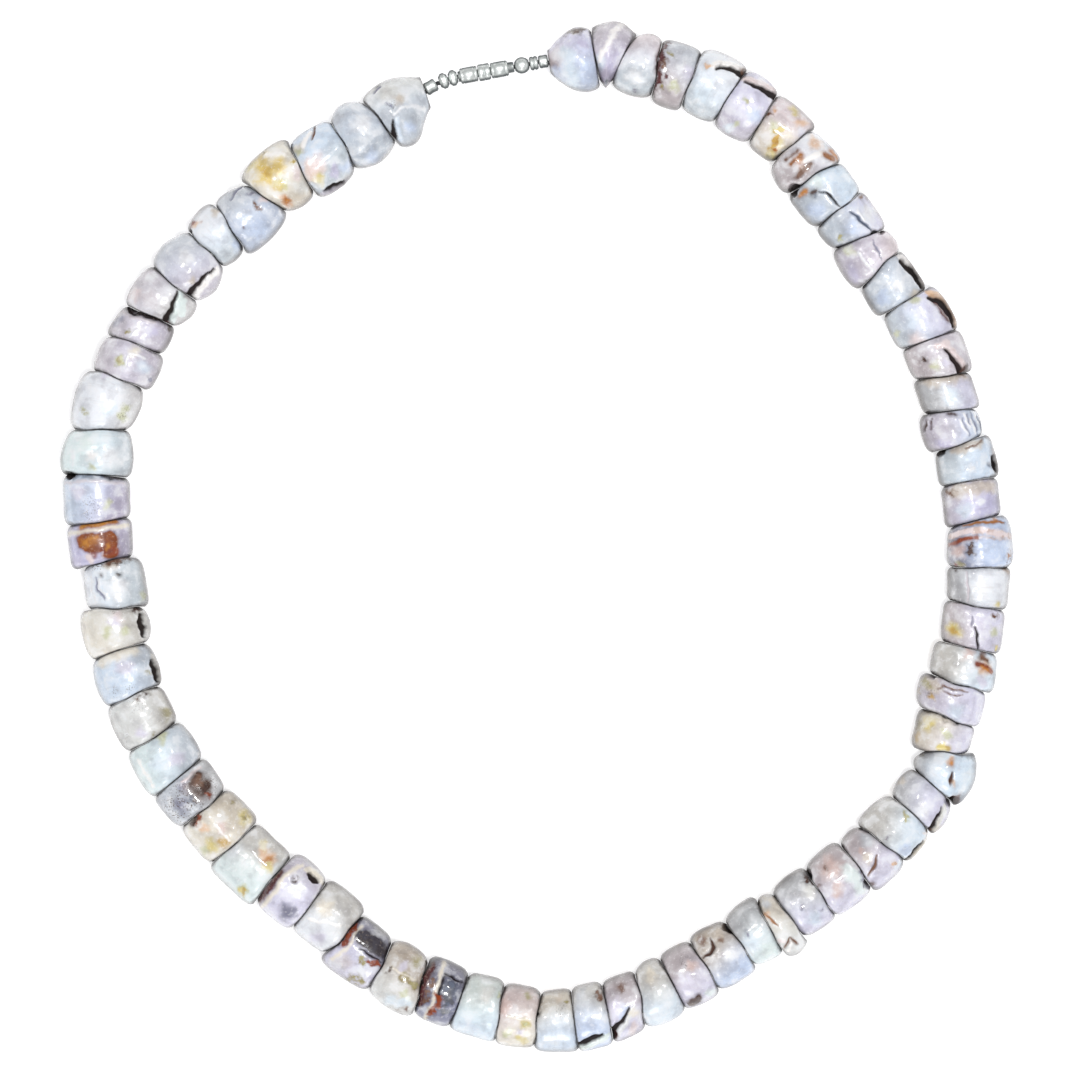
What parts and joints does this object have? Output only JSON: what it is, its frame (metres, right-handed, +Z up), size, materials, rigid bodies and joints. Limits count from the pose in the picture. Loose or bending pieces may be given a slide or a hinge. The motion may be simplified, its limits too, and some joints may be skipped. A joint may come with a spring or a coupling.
{
  "type": "puka shell necklace",
  "caption": "Round choker of worn, drilled shell beads strung edge to edge on a thread, with small silver beads and a screw barrel clasp, lying flat in its closed loop.",
  "frame": {"origin": "on the surface that the necklace lies on, under the middle of its outline", "axes": "+Z up, away from the surface; +Y towards the clasp at the back of the neck; +X to the right as seen from above"},
  "size_m": [0.152, 0.1646, 0.0112],
  "materials": {
    "shell": "sea-worn, polished shell, pale grey-blue and lavender with ochre and brown marks",
    "thread": "twisted dark grey beading thread",
    "silver_bead": "polished silver plate",
    "silver_clasp": "polished silver plate"
  },
  "bodies": {
    "root": {"shell_string_right": "shell", "shell_string_left": "shell", "thread": "thread", "ball_bead_right": "silver_bead", "spacer_bead_right": "silver_bead", "crimp_bead_right": "silver_bead", "rondelle_left_inner": "silver_bead", "rondelle_left_outer": "silver_bead", "crimp_bead_left": "silver_bead", "clasp_barrel_right": "silver_clasp", "clasp_barrel_left": "silver_clasp", "clasp_collar": "silver_clasp"}
  },
  "joints": []
}
